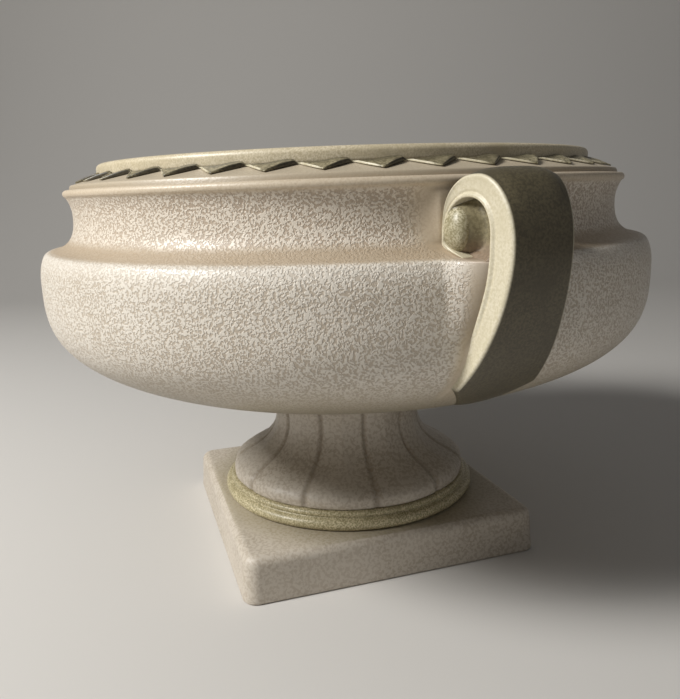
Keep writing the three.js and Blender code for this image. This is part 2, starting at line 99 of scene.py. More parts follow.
BOWL_TURN = math.radians(3.5)
BOWL_WALL = 7.0
BOWL_FLOOR = 8.5
BOWL_HUB = 0.5                 # smallest ring of points, closed to its middle
BELLY_RADIUS = 152.1
BELLY_DROP = 58.0
BELLY_DEPTH = 62.5
BELLY_RISE = 15.5
BELLY_HEIGHT = 44.0
RIDGE_ROLL = 1.7
RIDGE_LIFT = 0.15              # the ridge's inner edge over its crest
THROAT_RADIUS = 135.0
THROAT_RISE = 15.4
LIP_RISE = 10.8
LIP_RADIUS = 138.6
LIP_BEAD = 1.8
LIP_GROOVE = 3.0               # a fine groove lies this far inside the lip
SHOULDER_RISE = 7.3
SHOULDER_RADIUS = 134.8
SHOULDER_EDGE = 3.8
MOUTH_DEPTH = 6.5
BAND_RADIUS = 122.4
BAND_WIDTH = 9.4
BAND_HEIGHT = 6.0
BAND_EDGE = 2.2
BAND_ARRIS = 0.3
RIM_COLUMNS = 360
COARSE_STEP = math.radians(1.05)        # of the bowl's columns, away from the handles
FINE_STEP = math.radians(0.27)          # and within FINE_REACH of each
FINE_REACH = math.radians(13)

TEETH = 40
TOOTH_TURN = math.radians(-1.8)
TOOTH_STRIP = 1.2
TOOTH_LENGTH = 8.4
TOOTH_THICKNESS = 1.5
TOOTH_GAP = 0.3
TOOTH_EDGE = 0.4               # thickness at the low left side
TOOTH_ROOT = 0.5
TOOTH_BLUNT = 0.06             # rounds the tip and the root of each tooth
TOOTH_SWELL = 0.3
TOOTH_COLUMNS = 32             # points to one tooth
# the course in section, from the bed round to the top: share of the way out, share of the
# thickness, and height of the bead along the left side
TOOTH_SECTION = (
    (0, 0, 0), (0.97, 0, 0), (1.0, 0.12, 0), (1.0, 0.55, 0.1), (0.985, 0.85, 0.3),
    (0.955, 1.0, 0.4), (0.92, 1.0, 0.3), (0.88, 1.0, 0), (0.75, 1, 0), (0.5, 1, 0), (0.25, 1, 0),
    (0, 1, 0),
)

HANDLE_REACH = 169.8
CURL_RADIUS = 17.0
CURL_HEIGHT = 23.4
CURL_RISE = 4.4
STRAP_FOOT_RISE = 13.0
STRAP_FOOT_OUT = 1.1
TONGUE_HEIGHT = 14.0
TONGUE_SHARE = 0.15
HANDLE_WIDTH = 22.6
HANDLE_DRAFT = 0.18
HANDLE_SPREAD = 0.015
HANDLE_FLARE = 2.4
FLARE_REACH = 11.0
HANDLE_EDGE = 1.5
EYE_X = 149.1                  # middle of the eye
EYE_HALF_WIDTH = 10.2
EYE_RISE = 7.8                 # above the ridge
EYE_HALF_HEIGHT = 12.5
EYE_SQUARENESS = 2.2           # exponent of the oval: 2 is an ellipse
WALL_X = 137.5                 # outer edge of the curl where it comes down onto the neck
CURL_SQUARENESS = 2.75
RIM_BEAD = 1.5                 # width of the fine bead round the eye and down the strap
STRAP_CROWN = 1.7              # rise of the strap's middle at the crest of the curl
WEB_THICKNESS = 19.0
WEB_DISH = 1.2                 # hollow of the web's face,
WEB_LIP = 1.6                  # its rise toward the rim,
WEB_FOOT = 3.6                 # and its rise toward the ridge
NECK_MERGE = 9.0               # the neck rises to the curl over this width
NECK_GAP = 3.4                 # and by no more than this
SLIP_FILLET = 0.8              # quarter round of slip along the strap's side
SLIP_SHARE = 0.45              # and its limit, as a share of the strap's thickness
FLASH_DEPTH = 0.55             # of the wrinkles along the ridge beside the strap
FLASH_STEP = 3.4
FLASH_SEED = 11
WEDGE_DROP = 12.0
WEDGE_KNEE_X = 155.0           # corners of the wedge's edge, from its foot up to the ridge
WEDGE_BEND_X = 159.2
WEDGE_TOP_X = 159.5
WEDGE_FLUSH = 12.0             # the clay beside the strap runs flush to here
WEDGE_FADE = 24.5              # and has died into the belly here
BOSS_WIDTH = 12.8
BOSS_HEIGHT = 15.6
BOSS_DEPTH = 9.4
BOSS_OUT = 6.4
BOSS_ASIDE = 14.0
BOSS_RISE = 9.8
BOSS_FILLET = 6.6              # height of the slip round the ball,
BOSS_FILLET_FADE = 2.3         # the width over which it dies away,
BOSS_FILLET_START = 0.42       # and where it starts, as a share of the ball's width
BOSS_LUMP = 0.02               # unevenness of the ball, as a share of its size
BOSS_LUMP_STEP = 7.0
BOSS_LUMP_SEED = 5

# steps along the strap: up its foot, over the curl, down its left side and along its tail
LOW_STEPS, CURL_STEPS, LEFT_STEPS, TAIL_STEPS = 90, 60, 60, 24
SIDE_POINTS, FACE_POINTS, BACK_POINTS = 34, 16, 8       # points across each face of its section
OVAL_COLUMNS = 96

# ---------- levels that follow ----------

RING_BASE = PLINTH_HEIGHT
STEM_BASE = RING_BASE + RING_HEIGHT
BOWL_BASE = STEM_BASE + STEM_HEIGHT
BELLY_Z = BOWL_BASE + BELLY_DROP
RIDGE_Z = BELLY_Z + BELLY_RISE
THROAT_Z = RIDGE_Z + THROAT_RISE
LIP_Z = THROAT_Z + LIP_RISE
BAND_BASE = LIP_Z + SHOULDER_RISE
SEAT_LIP_RADIUS = BAND_RADIUS + TOOTH_GAP
MOUTH_RADIUS = BAND_RADIUS - BAND_WIDTH
CURL_X = HANDLE_REACH - CURL_RADIUS
CURL_Z = RIDGE_Z + CURL_RISE
EYE_Z = RIDGE_Z + EYE_RISE
WEDGE_Z = BELLY_Z - WEDGE_DROP

# ---------- curves ----------


def bezier(corners, count):
    """Points of a Bezier curve: each corner weighted by its Bernstein polynomial."""
    t = np.linspace(0, 1, count)[:, None]
    last = len(corners) - 1
    weights = [math.comb(last, k) * t**k * (1 - t) ** (last - k) for k in range(last + 1)]
    return sum(w * np.array(c, float) for w, c in zip(weights, corners))


def arc(x, z, radius, start, stop, count):
    """Points on a circle about (x, z) between two angles in degrees."""
    a = np.radians(np.linspace(start, stop, count))
    return np.stack([x + radius * np.cos(a), z + radius * np.sin(a)], 1)


def line(start, stop, count):
    """Evenly spaced points from start to stop, both kept."""
    t = np.linspace(0, 1, count)[:, None]
    return np.array(start, float) * (1 - t) + np.array(stop, float) * t


def smoothstep(low, high, x):
    """0 below low, 1 above high, and a cubic ease between them."""
    t = np.clip((x - low) / (high - low), 0, 1)
    return t * t * (3 - 2 * t)


def window(x, start, full, ebb, end):
    """0 outside start and end, 1 between full and ebb, and eased in between."""
    return smoothstep(start, full, x) * (1 - smoothstep(ebb, end, x))


def ripple(x, y, z, step, seed):
    """A slow swell between -1 and 1: four crossed sine waves with a wavelength near step."""
    rng = np.random.default_rng(seed)
    total = 0
    for _ in range(4):
        way = rng.normal(size=3)
        way /= np.linalg.norm(way)
        phase = rng.uniform(0, 2 * math.pi)
        total = total + np.sin(2 * math.pi * (way[0] * x + way[1] * y + way[2] * z) / step + phase)
    return total / 4


# ---------- meshes ----------


def skin(name, grid, joined=False):
    """A closed mesh from rings of points, grid[ring, point], in millimetres.

    Each ring runs counter-clockwise seen from above. The rings are joined in a loop, or the first
    and the last are closed to their own middles.
    """
    rows, count = grid.shape[:2]
    points = grid.reshape(-1, 3)
    low = np.arange(rows if joined else rows - 1)[:, None] * count
    high = (low + count) % (rows * count)
    i = np.arange(count)[None, :]
    j = (i + 1) % count
    quads = np.stack([low + i, low + j, high + j, high + i], 2).reshape(-1, 4)
    faces = quads.tolist()
    if not joined:
        ends = np.stack([grid[0].mean(0), grid[-1].mean(0)])
        first, last = len(points), len(points) + 1
        top = (rows - 1) * count
        points = np.vstack([points, ends])
        faces += [(first, b, a) for a, b in zip(i[0].tolist(), j[0].tolist())]
        faces += [(last, top + a, top + b) for a, b in zip(i[0].tolist(), j[0].tolist())]
    mesh = bpy.data.meshes.new(name)
    mesh.from_pydata((points * MM).tolist(), [], faces)
    mesh.update()
    mesh.shade_smooth()
    piece = bpy.data.objects.new(name, mesh)
    bpy.context.scene.collection.objects.link(piece)
    return piece


def paint(piece, name, values):
    """Stores one number for each vertex; the two middle points of open ends take the mean."""
    values = np.asarray(values, np.float32).reshape(-1)
    spare = len(piece.data.vertices) - len(values)
    values = np.concatenate([values, np.full(spare, values.mean(), np.float32)])
    layer = piece.data.attributes.new(name, "FLOAT", "POINT")
    layer.data.foreach_set("value", values)


def around(profile, angles):
    """Rings from a (radius, height) profile turned about Z: x = r cos a, y = r sin a."""
    radius, height = profile[:, 0][:, None], profile[:, 1][:, None]
    flat = np.zeros_like(angles)[None, :]
    return np.stack([radius * np.cos(angles), radius * np.sin(angles), height + flat], 2)


def turned(grid, angle):
    """The same points turned about Z."""
    c, s = math.cos(angle), math.sin(angle)
    x, y = grid[..., 0], grid[..., 1]
    return np.stack([c * x - s * y, s * x + c * y, grid[..., 2]], -1)


def full_turn(count):
    return np.linspace(0, 2 * math.pi, count, endpoint=False)


# ---------- stand ----------


def square_ring(half, corner, z, steps=12, side=8):
    """A square with round corners: corner arcs with evenly spaced points along each side."""
    quarter = [line((half, -(half - corner)), (half, half - corner), side + 1)[:-1]]
    quarter.append(arc(half - corner, half - corner, corner, 0, 90, steps + 1)[:-1])
    quarter = np.vstack(quarter)
    ring = []
    for turn in range(4):
        c, s = math.cos(turn * math.pi / 2), math.sin(turn * math.pi / 2)
        x, y = quarter[:, 0], quarter[:, 1]
        ring.append(np.stack([c * x - s * y, s * x + c * y], 1))
    ring = np.vstack(ring)
    return np.column_stack([ring, np.full(len(ring), z)])


def plinth():
    """Cast slab: drafted sides, a rolled top edge, a hollow underside and a round vent."""
    half = PLINTH_SIDE / 2
    inner = half - PLINTH_WALL
    ceiling = PLINTH_HEIGHT - PLINTH_SLAB

    def outer(z, inset):
        reach = half - PLINTH_DRAFT * z / PLINTH_HEIGHT - inset
        return square_ring(reach, PLINTH_CORNER - inset, z)

    rings = [square_ring(inner, PLINTH_CORNER, z) for z in (ceiling, ceiling / 2, 0)]
    for a, b in arc(0, 0, PLINTH_ARRIS, -90, 0, 6):
        rings.append(outer(PLINTH_ARRIS + b, PLINTH_ARRIS - a))
    for z in np.linspace(PLINTH_ARRIS, PLINTH_HEIGHT - PLINTH_EDGE, 7)[1:-1]:
        rings.append(outer(z, 0))
    for a, b in arc(0, 0, PLINTH_EDGE, 0, 90, 12):
        rings.append(outer(PLINTH_HEIGHT - PLINTH_EDGE + b, PLINTH_EDGE - a))
    flat = half - PLINTH_DRAFT - PLINTH_EDGE
    flat_corner = PLINTH_CORNER - PLINTH_EDGE
    for share in np.linspace(0, 1, 12)[1:]:
        reach = flat + (PLINTH_VENT - flat) * share
        corner = flat_corner + (PLINTH_VENT - flat_corner) * share
        rings.append(square_ring(reach, corner, PLINTH_HEIGHT))
    rings.append(square_ring(PLINTH_VENT, PLINTH_VENT, ceiling))
    grid = np.stack(rings)
    x, y, z = grid[..., 0], grid[..., 1], grid[..., 2]
    soft = smoothstep(0, PLINTH_WAVER_RISE, z) * (np.hypot(x, y) > PLINTH_VENT + 1)
    waver = ripple(x, y, z, PLINTH_WAVER_STEP, PLINTH_WAVER_SEED)
    inward = PLINTH_WAVER * (waver - 1) * soft
    grid[..., 0] += inward * np.sign(x) * (np.abs(x) > half - PLINTH_SIDE_BAND)
    grid[..., 1] += inward * np.sign(y) * (np.abs(y) > half - PLINTH_SIDE_BAND)
    piece = skin("plinth_slab", grid, joined=True)
    away = np.hypot(x, y) - RING_RADIUS
    # olive glaze run near the ring, darkened also as painted shade at the ring's foot
    paint(piece, "run", (1 - smoothstep(RUN_START, RUN_WIDTH, away)) * (z > PLINTH_HEIGHT - 0.5))
    return piece


def foot_ring():
    """Two stacked half-round rolls, the upper one smaller, turned about Z."""
    step = STEM_BASE - RING_STEP_HEIGHT
    low = (step - RING_BASE) / 2
    high = RING_STEP_HEIGHT / 2
    profile = np.vstack([
        line((RING_BORE, RING_BASE), (RING_RADIUS - low, RING_BASE), 3),
        arc(RING_RADIUS - low, RING_BASE + low, low, -62, 84, 18),
        arc(RING_STEP_RADIUS - high, step + high, high, -50, 90, 12),
        line((RING_BORE + 1, STEM_BASE), (RING_BORE, STEM_BASE - 1), 2),
    ])
    return skin("ring_rolls", around(profile, full_turn(RING_COLUMNS)), joined=True)


def flute_phase(angle):
    """0 in the middle of a groove and 1 halfway between two."""
    return np.abs(((angle - FLUTE_TURN) * FLUTES / (2 * math.pi) + 0.5) % 1 - 0.5) * 2


def flute_depth(angle, z):
    """Depth of the V grooves: steep close to each of them, with a slight crown between two."""
    across = flute_phase(angle)
    groove = np.clip(1 - across / GROOVE_WIDTH, 0, 1) ** 1.2
    crown = across**2 * CROWN_SHARE
    fade = smoothstep(0, 12, BOWL_BASE - SEAT_EDGE - z) * smoothstep(-1.5, 2.5, z - STEM_BASE)
    return FLUTE_DEPTH * fade * (GROOVE_SHARE * groove + CROWN_SHARE - crown)


def bell_sweep(low, base, high, count):
    """Curve from the radius low at the bell's foot up to the radius high at the neck."""
    bell = STEM_BASE + BELL_RISE
    return bezier([
        (low, base),
        (low, bell + NECK_RISE * BELL_PULL),
        (high, bell + NECK_RISE * NECK_PULL),
        (high, STEM_BASE + NECK_RISE),
    ], count)


def stem():
    """A bell profile turned about Z, drawn in along its grooves, over a smooth bore."""
    bell = STEM_BASE + BELL_RISE
    neck = STEM_BASE + NECK_RISE
    seat = BOWL_BASE - SEAT_EDGE
    foot = STEM_FOOT_RADIUS + STEM_FOOT_ROLL
    outside = np.vstack([
        bezier([(foot, STEM_BASE), (BELL_RADIUS, STEM_BASE + 0.4), (BELL_RADIUS, bell)], 12),
        bell_sweep(BELL_RADIUS, bell, NECK_RADIUS, 48)[1:],
        bezier([
            (NECK_RADIUS, neck), (NECK_RADIUS, seat - (seat - neck) * 0.3), (SEAT_RADIUS, seat),
        ], 20)[1:],
        [(SEAT_RADIUS, BOWL_BASE)],
    ])
    angles = full_turn(FLUTES * FLUTE_COLUMNS)
    neck_bore = NECK_RADIUS - STEM_WALL
    bore = bell_sweep(RING_BORE, STEM_BASE, neck_bore, 10)[::-1]
    inside = np.vstack([
        [(STEM_HUB, BOWL_BASE - STEM_CAP), (neck_bore * 0.7, BOWL_BASE - STEM_CAP)],
        [(neck_bore, BOWL_BASE - STEM_CAP - STEM_WALL / 2)],
        bore,
    ])
    shell = around(outside, angles)
    depth = flute_depth(angles[None, :], outside[:, 1][:, None])
    shell[..., 0] -= depth * np.cos(angles)
    shell[..., 1] -= depth * np.sin(angles)
    pad = BOWL_BASE + PAD_HEIGHT
    top = around(np.array([(PAD_RADIUS, BOWL_BASE), (PAD_RADIUS, pad), (STEM_HUB, pad)]), angles)
    piece = skin("fluted_stem", np.concatenate([around(inside, angles), shell, top]))
    groove = np.zeros((len(inside) + len(outside) + len(top), len(angles)))
    groove[len(inside):-len(top)] = np.clip(1 - flute_phase(angles) / GROOVE_STAIN, 0, 1)[None, :]
    paint(piece, "groove", groove)
    return piece


# ---------- bowl ----------


def belly_radius(rise, shrink=0.0):
    """Radius at a height from the widest part: square of radius and cube of height share one."""
    reach = np.where(rise < 0, BELLY_DEPTH, BELLY_HEIGHT) - shrink
    share = np.minimum(np.abs(rise) / reach, 1)
    return (BELLY_RADIUS - shrink) * np.sqrt(1 - share**3)


def belly_points(start, stop, count, shrink=0.0):
    rise = np.linspace(start, stop, count)
    return np.stack([belly_radius(rise, shrink), BELLY_Z + rise], 1)


def shoulder_height(radius):
    share = (radius - SEAT_LIP_RADIUS) / (SHOULDER_RADIUS - SEAT_LIP_RADIUS)
    return BAND_BASE + (LIP_Z + SHOULDER_EDGE - BAND_BASE) * share


def bowl_outside():
    """Base, belly, softened ridge, cove, bead lip, a fine groove, and the sloping shoulder."""
    ridge = belly_radius(BELLY_RISE)
    roll = RIDGE_ROLL
    crest = (ridge - roll * 1.2, RIDGE_Z + RIDGE_LIFT)
    throat = (THROAT_RADIUS, THROAT_Z)
    edge = (SHOULDER_RADIUS, shoulder_height(SHOULDER_RADIUS))
    foot = belly_radius(-BELLY_DROP)
    return np.vstack([
        line((PAD_RADIUS + PAD_CLEARANCE, BOWL_BASE), (foot - 1, BOWL_BASE), 6),
        belly_points(-BELLY_DROP, -BELLY_DROP * 0.6, 24),
        belly_points(-BELLY_DROP * 0.6, BELLY_RISE - roll, 44)[1:],
        bezier([
            (belly_radius(BELLY_RISE - roll), RIDGE_Z - roll), (ridge, RIDGE_Z), crest,
        ], 8)[1:],
        bezier([
            crest, (THROAT_RADIUS + 3, RIDGE_Z + 1.6),
            (THROAT_RADIUS, THROAT_Z - THROAT_RISE * 0.55), throat,
        ], 26)[1:],
        bezier([
            throat, (THROAT_RADIUS, LIP_Z - LIP_RISE / 2), (LIP_RADIUS - 1.1, LIP_Z - 1.6),
        ], 12)[1:],
        arc(LIP_RADIUS - LIP_BEAD, LIP_Z, LIP_BEAD, -40, 105, 12),
        bezier([
            (LIP_RADIUS - 2.3, LIP_Z + 1.7), (LIP_RADIUS - 3.2, LIP_Z + 0.2),
            (LIP_RADIUS - LIP_GROOVE, LIP_Z + 2.6), edge,
        ], 12)[1:],
        line(edge, (SEAT_LIP_RADIUS, BAND_BASE), 12)[1:],
    ])


def bowl_inside():
    """Mouth, the neck's inner wall, and the belly down to the floor."""
    neck = THROAT_RADIUS - BOWL_WALL
    under = BAND_BASE - MOUTH_DEPTH
    floor = BOWL_BASE + BOWL_FLOOR
    belly = belly_points(BELLY_RISE - BOWL_WALL * 0.8, floor + 3 - BELLY_Z, 22, BOWL_WALL)
    return np.vstack([
        line((MOUTH_RADIUS, BAND_BASE), (MOUTH_RADIUS, under), 4),
        bezier([(MOUTH_RADIUS, under), (neck, under - 2), (neck, THROAT_Z)], 10)[1:],
        bezier([(neck, THROAT_Z), (neck, RIDGE_Z), belly[0]], 8)[1:],
        belly[1:],
        bezier([belly[-1], (belly[-1, 0] - 2, floor), (belly[-1, 0] - 8, floor)], 6)[1:],
        line((belly[-1, 0] - 10, floor), (BOWL_HUB, floor), 10),
    ])


def fine_near(marks, coarse, fine, reach):
    """Angles of a full turn, spaced finely within reach of each mark and coarsely elsewhere."""
    pieces = []
    for mark, following in zip(marks, [*marks[1:], marks[0] + 2 * math.pi]):
        pieces.append(np.arange(mark - reach, mark + reach, fine))
        span = following - reach - (mark + reach)
        count = int(span / coarse)
        pieces.append(mark + reach + np.arange(count) * span / count)
    return np.concatenate(pieces)


def wedge_x(z):
    """Inner edge of the strap: it leaves the belly at the wedge's foot and runs up to the eye."""
    start = float(belly_radius(np.array(-WEDGE_DROP)))
    curve = bezier([
        (start, WEDGE_Z), (WEDGE_KNEE_X, WEDGE_Z + 9), (WEDGE_BEND_X, RIDGE_Z - 8),
        (WEDGE_TOP_X, RIDGE_Z),
    ], 60)
    return np.interp(z, curve[:, 1], curve[:, 0])


def half_width(x, z):
    """Half the strap's width: drafted outward, spread downward, flared at the neck."""
    spread = HANDLE_SPREAD * np.clip(RIDGE_Z - z, 0, None)
    near = np.clip(1 - (x - THROAT_RADIUS) / FLARE_REACH, 0, 1)
    flare = HANDLE_FLARE * near**2 * smoothstep(RIDGE_Z - 2, RIDGE_Z + 3, z)
    return HANDLE_WIDTH / 2 + HANDLE_DRAFT * (HANDLE_REACH - x) + spread + flare


def tongue_width(z):
    """Half the width that the tongue leaves at a height: straight from its knee to its tip."""
    foot = BOWL_BASE + STRAP_FOOT_RISE
    knee = foot + TONGUE_HEIGHT
    wide = half_width(belly_radius(np.array(knee - BELLY_Z)), knee)
    up = (z - foot) / TONGUE_HEIGHT
    return wide * (TONGUE_SHARE + (1 - TONGUE_SHARE) * np.clip(up, 0, None))


def curl_left(count):
    """Outline of the curl from its crest down its left side, squarer than an ellipse."""
    a = np.radians(np.linspace(90, 180, count))
    power = 2 / CURL_SQUARENESS
    x = CURL_X + (CURL_X - WALL_X) * np.sign(np.cos(a)) * np.abs(np.cos(a)) ** power
    z = CURL_Z + CURL_HEIGHT * np.sign(np.sin(a)) * np.abs(np.sin(a)) ** power
    return np.stack([x, z], 1)


def strap_outer_x(z):
    """Outer face of the strap as a radius at a height, from its foot to the middle of the curl."""
    curve = strap_outer_low(120)
    return np.interp(z, curve[:, 1], curve[:, 0])


def strap_outer_low(count):
    """Outer outline of the strap from the tongue's tip up to the curl's widest part."""
    foot_z = BOWL_BASE + STRAP_FOOT_RISE
    foot_x = float(belly_radius(np.array(foot_z - BELLY_Z))) + STRAP_FOOT_OUT
    drop = CURL_Z - foot_z
    return bezier([
        (foot_x, foot_z), (foot_x + 0.57 * drop, foot_z + 0.173 * drop),
        (HANDLE_REACH, CURL_Z - 0.233 * drop), (HANDLE_REACH, CURL_Z),
    ], count)


def toward_handle(x, y, z, radius, folds):
    """Push of the bowl's wall toward the handle at +X, and the glaze's masks beside it, painted
    shade among them.
    """
    here = x > 0
    # the wedge: the belly and its ridge run out to the strap's inner edge
    reach = np.clip(wedge_x(z) - x, 0, None) * smoothstep(WEDGE_Z - 3, WEDGE_Z + 3, z)
    under_ridge = 1 - smoothstep(RIDGE_Z - 0.2, RIDGE_Z + 0.6, z)
    foot = 1 - smoothstep(RIDGE_Z, RIDGE_Z + 4.5, z)
    wide = 1 - smoothstep(WEDGE_FLUSH, WEDGE_FADE, y)
    narrow = 1 - smoothstep(WEB_THICKNESS / 2 - 0.5, WEB_THICKNESS / 2 + 3.5, y)
    wedge = reach * np.maximum(wide * under_ridge, narrow * foot) * here
    # the slip fillet against the strap's side: a concave quarter round
    thick = np.clip(strap_outer_x(z) - radius, 0, None)
    upper = smoothstep(RIDGE_Z + 1, RIDGE_Z + 4, z)
    size = np.minimum(SLIP_FILLET, SLIP_SHARE * thick) * (1 - upper)
    size = np.clip(size * smoothstep(BOWL_BASE + 16, BOWL_BASE + 28, z), 1e-3, None)
    aside = y - half_width(np.maximum(x, THROAT_RADIUS), z)
    part = np.clip((size - aside) / size, 0, 1)
    fillet = size * (1 - np.sqrt(1 - part**2)) * here
    # the neck swells gently toward the curl's left edge
    gap = np.clip(WALL_X + 0.4 - radius, 0, NECK_GAP)
    gap *= window(z, RIDGE_Z - 0.5, RIDGE_Z + 5, LIP_Z - 4, LIP_Z - 1)
    swell = gap * np.clip(1 - (aside + 1.5) / NECK_MERGE, 0, 1) ** 2.2 * here
    # the wrinkled line along the ridge
    wrinkle = np.exp(-(((z - RIDGE_Z) / 1.0) ** 2)) * (1 - smoothstep(17.0, 22.0, y)) * here
    push = np.maximum(wedge, fillet) + swell + FLASH_DEPTH * wrinkle * folds
    # the glaze lies calm close to the strap, over a narrower strip below the ridge
    high_strip = 1 - smoothstep(1.0, 12.0, aside)
    high_strip *= here * smoothstep(BOWL_BASE + 4, BOWL_BASE + 18, z)
    low_strip = 1 - smoothstep(0.5, 5.0, aside)
    low_strip *= here * smoothstep(BOWL_BASE + 10, BOWL_BASE + 24, z)
    # the eye's floor: brown glaze with painted shade of the hollow under the ball
    eye_floor = window(z, RIDGE_Z - 0.1, RIDGE_Z + 0.5, RIDGE_Z + 8, RIDGE_Z + 12)
    return push, {
        # drawn: brown-grey glaze beside the strap under the ridge, darkened further as painted
        # shade that dulls the highlight on the wedge's slope
        "drawn": wide * under_ridge * here * smoothstep(WEDGE_Z - 8, WEDGE_Z + 8, z),
        "eye": eye_floor * (1 - smoothstep(14.5, 17.5, y)) * here,
        "flash": wrinkle * np.clip(0.45 + 0.8 * folds, 0, 1),
        "calm": high_strip * upper + low_strip * (1 - upper),
    }


def bowl():
    """The bowl's profile turned about Z, drawn out at each handle into a fillet and a web."""
    outside = bowl_outside()
    ceiling = BOWL_BASE + PAD_HEIGHT + PAD_CLEARANCE
    seat = np.array([(BOWL_HUB, ceiling), (PAD_RADIUS + PAD_CLEARANCE, ceiling)])
    profile = np.vstack([seat, outside, bowl_inside()])
    grid = around(profile, fine_near([0.0, math.pi], COARSE_STEP, FINE_STEP, FINE_REACH))
    rows = slice(len(seat), len(seat) + len(outside))
    skirt = grid[rows]
    z = skirt[..., 2]
    radius = np.hypot(skirt[..., 0], skirt[..., 1])
    masks = {name: np.zeros(grid.shape[:2]) for name in ("drawn", "eye", "flash", "calm")}
    for side in (1, -1):
        folds = ripple(skirt[..., 0], 2.2 * skirt[..., 1], z, FLASH_STEP, FLASH_SEED)
        x, y = side * skirt[..., 0], np.abs(skirt[..., 1])
        push, beside = toward_handle(x, y, z, radius, folds)
        skirt[..., 0] += side * push
        for name, values in beside.items():
            masks[name][rows] = np.maximum(masks[name][rows], values)
    flat_z = profile[:, 1][:, None] + np.zeros(grid.shape[:2])
    outer = np.zeros((len(profile), 1))
    outer[rows] = 1
    groove = (profile[:, :1] - LIP_RADIUS + LIP_GROOVE) / 0.5
    masks |= {
        # foot: olive-grey glaze toward the base, darkened further as painted shade of the belly's
        # underside
        "foot": 1 - smoothstep(BOWL_BASE + 10, BOWL_BASE + 36, flat_z),
        # cove: tan glaze above the ridge, darkened further as painted shade
        "cove": window(flat_z, RIDGE_Z - 0.3, RIDGE_Z + 0.6, RIDGE_Z + 3, RIDGE_Z + 7),
        # crest: a painted highlight along the belly's top just under the ridge
        "crest": window(flat_z, RIDGE_Z - 8, RIDGE_Z - 2, RIDGE_Z - 1, RIDGE_Z + 0.4),
        "neck": 0.7 * smoothstep(RIDGE_Z, RIDGE_Z + 3, flat_z),
        # under: more of the darker worms just under the lip bead, partly painted shade
        "under": window(flat_z, LIP_Z - 9, LIP_Z - 5, LIP_Z - 4, LIP_Z - 2),
        "shoulder": smoothstep(LIP_Z + 1.4, LIP_Z + 3, flat_z),
        # seam: painted shade along the fine groove inside the lip
        "seam": np.exp(-(groove**2)) * (flat_z > LIP_Z) * outer,
    }
    lip = smoothstep(LIP_Z - 3.0, LIP_Z - 1.0, flat_z)
    calm = np.maximum.reduce([
        masks["calm"], 0.85 * masks["foot"], 0.45 * masks["cove"], 0.9 * lip,
    ])
    masks["calm"] = np.clip(calm + 0.6 * (1 - outer), 0, 1)
    piece = skin("bowl_shell", turned(grid, BOWL_TURN))
    for name, values in masks.items():
        paint(piece, name, values)
    return piece


def rim_band():
    """A flat band with rounded top edges, turned about Z."""
    top = BAND_BASE + BAND_HEIGHT
    profile = np.vstack([
        line((MOUTH_RADIUS, BAND_BASE), (BAND_RADIUS - BAND_ARRIS, BAND_BASE), 3),
        line((BAND_RADIUS, BAND_BASE + BAND_ARRIS), (BAND_RADIUS, top - BAND_EDGE), 4)[:-1],
        arc(BAND_RADIUS - BAND_EDGE, top - BAND_EDGE, BAND_EDGE, 0, 90, 12),
        arc(MOUTH_RADIUS + BAND_EDGE, top - BAND_EDGE, BAND_EDGE, 90, 180, 12),
    ])
    grid = turned(around(profile, full_turn(RIM_COLUMNS)), BOWL_TURN)
    return skin("rim_roll", grid, joined=True)


def tooth_course():
    """A ring on the shoulder whose outer edge runs out to a rounded point at each tooth.

    A tooth rises from its thin left edge to its right edge, which drops sheer to the shoulder.
    """
    columns = full_turn(TEETH * TOOTH_COLUMNS)
    phase = (columns * TEETH / (2 * math.pi)) % 1
    wave = 1 - np.abs(2 * phase - 1)
    blunt = TOOTH_BLUNT
    point = (np.sqrt(wave**2 + blunt**2) - blunt) / (math.sqrt(1 + blunt**2) - blunt)
    point = np.clip(point, 0, 1)
    inner = SEAT_LIP_RADIUS + TOOTH_GAP
    edge = inner + TOOTH_ROOT + (TOOTH_STRIP - TOOTH_ROOT + TOOTH_LENGTH) * point**0.92
    thickness = TOOTH_EDGE + (TOOTH_THICKNESS - TOOTH_EDGE) * window(phase, 0.35, 0.8, 0.9, 1.0)
    left = window(phase, 0.02, 0.1, 0.36, 0.48)
    rows = []
    for share, lift, bead in TOOTH_SECTION:
        radius = inner + (edge - inner) * share
        bed = shoulder_height(radius) + TOOTH_GAP
        height = bed + lift * (thickness + TOOTH_SWELL * point * (1 - share)) + bead * left
        rows.append(np.stack([radius * np.cos(columns), radius * np.sin(columns), height], 1))
    grid = turned(np.stack(rows), BOWL_TURN + TOOTH_TURN)
    piece = skin("tooth_course", grid, joined=True)
    # the left side wall and bead are paler: thinner glaze over the bead, and partly a painted
    # highlight of the lit left edge
    rim = np.zeros((len(rows), len(columns)))
    rim[2:6] = 1 - smoothstep(0.34, 0.46, phase)
    paint(piece, "rim", rim)
    # painted shadow: dark on the right side wall and the face beside it, and near the band's foot
    painted_shadow = np.zeros((len(rows), len(columns)))
    painted_shadow[:6] = 0.35 * smoothstep(0.48, 0.54, phase) + 0.65 * smoothstep(0.55, 0.7, phase)
    painted_shadow[6:9] = 0.85 * smoothstep(0.66, 0.8, phase)
    painted_shadow[-2:] = 0.55
    paint(piece, "painted_shadow", painted_shadow)
    return piece


# ---------- handles ----------


